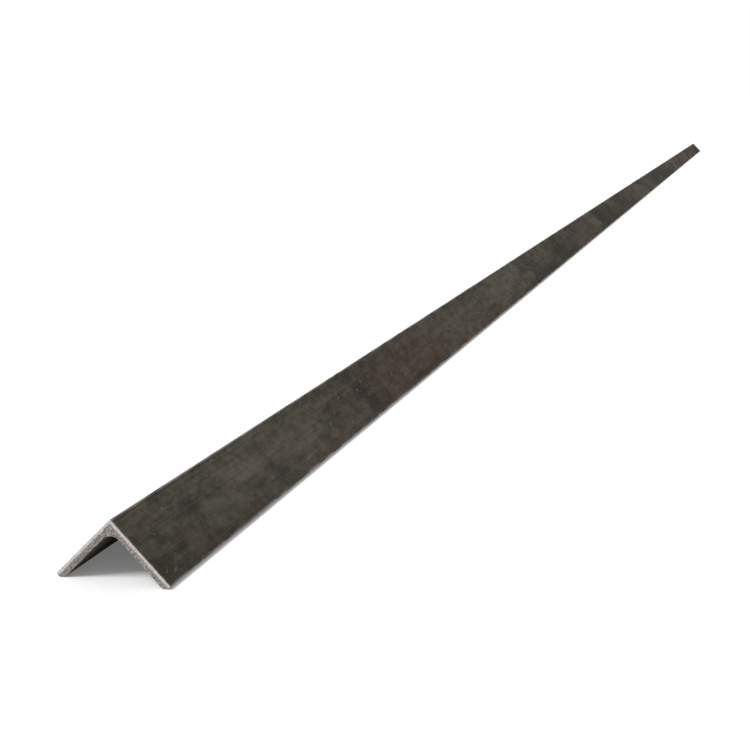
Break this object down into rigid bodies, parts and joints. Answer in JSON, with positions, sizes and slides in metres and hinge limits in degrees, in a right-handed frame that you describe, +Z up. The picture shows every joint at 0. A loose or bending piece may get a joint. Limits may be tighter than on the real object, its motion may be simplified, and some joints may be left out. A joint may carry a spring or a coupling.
{
  "type": "steel angle bar",
  "caption": "Hot-rolled equal-leg steel angle with a sharp heel, rounded root and toes and shear-cut ends, in one straight stock length lying heel up on its toes.",
  "frame": {"origin": "on the floor, midway between the toes and midway along the bar", "axes": "+Y along the bar from its near end to its far end, +Z up through the heel, +X to the right leg"},
  "size_m": [0.0702, 6, 0.0371],
  "materials": {
    "rolled_steel": "dark satin mill scale as rolled, with light rust and bright sheared ends"
  },
  "bodies": {
    "root": {"angle_bar": "rolled_steel"}
  },
  "joints": []
}
